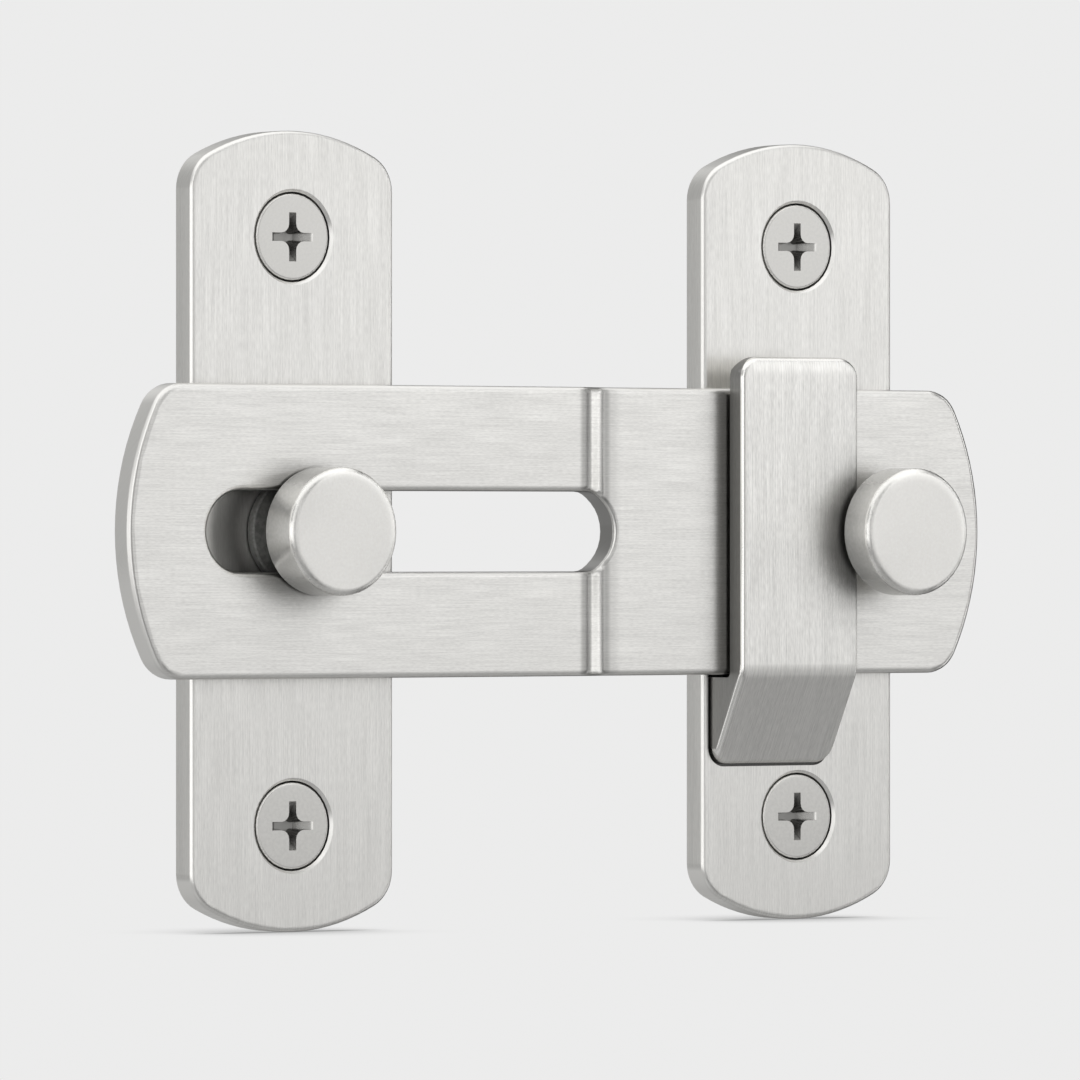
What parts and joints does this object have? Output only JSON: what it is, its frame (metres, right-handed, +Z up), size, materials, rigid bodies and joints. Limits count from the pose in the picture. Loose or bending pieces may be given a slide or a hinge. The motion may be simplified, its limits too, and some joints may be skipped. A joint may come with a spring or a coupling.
{
  "type": "door flip latch",
  "caption": "Surface-mounted flip latch: a slotted bar with a grip knob turns on a headed stud and drops into an open hook on a keeper plate.",
  "frame": {"origin": "on the stud's axis, in the plane of both plates' backs", "axes": "+X along the closed bar towards its free end, +Y into the door, +Z up"},
  "size_m": [0.1063, 0.0265, 0.08],
  "materials": {
    "plate_steel": "brushed upright",
    "hook_steel": "brushed upright",
    "bar_steel": "brushed along the bar",
    "knob_steel": "turned, satin",
    "screw_steel": "satin",
    "bush_resin": "matt"
  },
  "bodies": {
    "root": {"slide_plate": "plate_steel", "keeper_plate": "plate_steel", "catch_hook": "hook_steel", "pivot_stud": "knob_steel", "screw_slide_top": "screw_steel", "screw_slide_bottom": "screw_steel", "screw_keeper_top": "screw_steel", "screw_keeper_bottom": "screw_steel"},
    "pivot": {"pivot_bush": "bush_resin"},
    "bar": {"latch_bar": "bar_steel", "bar_knob": "knob_steel"}
  },
  "joints": [
    {"name": "bar_flip", "type": "hinge", "parent": "root", "child": "pivot", "pos_m": [0, -0.0045, 0], "axis": [0, -1, 0], "range_deg": [0, 320]},
    {"name": "bar_slide", "type": "slide", "parent": "pivot", "child": "bar", "axis": [1, 0, 0], "range_m": [-0.002, 0.009]}
  ]
}
